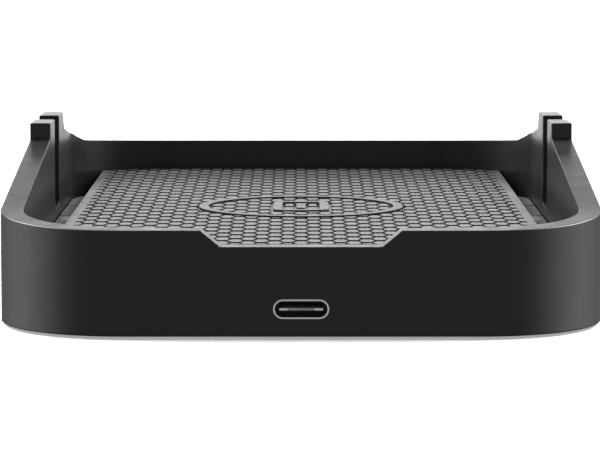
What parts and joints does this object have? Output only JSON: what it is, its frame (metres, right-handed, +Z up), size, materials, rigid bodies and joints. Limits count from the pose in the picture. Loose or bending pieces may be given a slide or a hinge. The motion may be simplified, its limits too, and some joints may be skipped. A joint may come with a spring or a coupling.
{
  "type": "laptop docking station",
  "caption": "Low tray with a studded mat and slotted side fins that hold a closed laptop on edge; data port at the front, video, data and power ports at the rear.",
  "frame": {"origin": "on the table, under the middle of the case", "axes": "+Z up, +Y from the front wall to the rear wall, the low front wall with the notch and the single port faces -Y"},
  "size_m": [0.0986, 0.143, 0.0287],
  "materials": {
    "case_plastic": "satin black moulded plastic",
    "deck_plastic": "satin black moulded plastic",
    "mat_silicone": "dark grey silicone, satin stud tops",
    "adhesive_film": "double-sided film",
    "base_plastic": "fine-textured black plastic",
    "foot_rubber": "matt black rubber",
    "screw_steel": "zinc-plated",
    "board_laminate": "solder mask",
    "ballast_steel": "rolled sheet",
    "port_shell": "nickel-plated",
    "port_plastic": "moulded insulator",
    "contact_gold": "gold-plated",
    "chip_epoxy": "moulded epoxy",
    "thermal_pad": "soft silicone",
    "spreader_aluminium": "milled",
    "ferrite": "sintered",
    "capacitor_can": "drawn can",
    "crystal_can": "drawn can",
    "passive_ceramic": "fired ceramic"
  },
  "bodies": {
    "root": {"housing": "case_plastic", "deck": "deck_plastic", "mat": "mat_silicone", "mat_adhesive": "adhesive_film", "base_plate": "base_plastic", "foot_front_left": "foot_rubber", "foot_front_right": "foot_rubber", "foot_rear_left": "foot_rubber", "foot_rear_right": "foot_rubber", "base_screws": "screw_steel", "main_board": "board_laminate", "board_screws": "screw_steel", "ballast_plate": "ballast_steel", "ballast_screws": "screw_steel", "front_usb_c_shell": "port_shell", "front_usb_c_tongue": "port_plastic", "front_usb_c_contacts": "contact_gold", "rear_usb_c_shell": "port_shell", "rear_usb_c_tongue": "port_plastic", "rear_usb_c_contacts": "contact_gold", "hdmi_shell": "port_shell", "hdmi_tongue": "port_plastic", "hdmi_contacts": "contact_gold", "usb_a_left_shell": "port_shell", "usb_a_left_tongue": "port_plastic", "usb_a_left_contacts": "contact_gold", "usb_a_right_shell": "port_shell", "usb_a_right_tongue": "port_plastic", "usb_a_right_contacts": "contact_gold", "hub_chip": "chip_epoxy", "video_chip": "chip_epoxy", "power_chip": "chip_epoxy", "memory_chip": "chip_epoxy", "thermal_pads": "thermal_pad", "heat_spreader": "spreader_aluminium", "inductors": "ferrite", "capacitors": "capacitor_can", "crystal": "crystal_can", "board_passives": "passive_ceramic"}
  },
  "joints": []
}
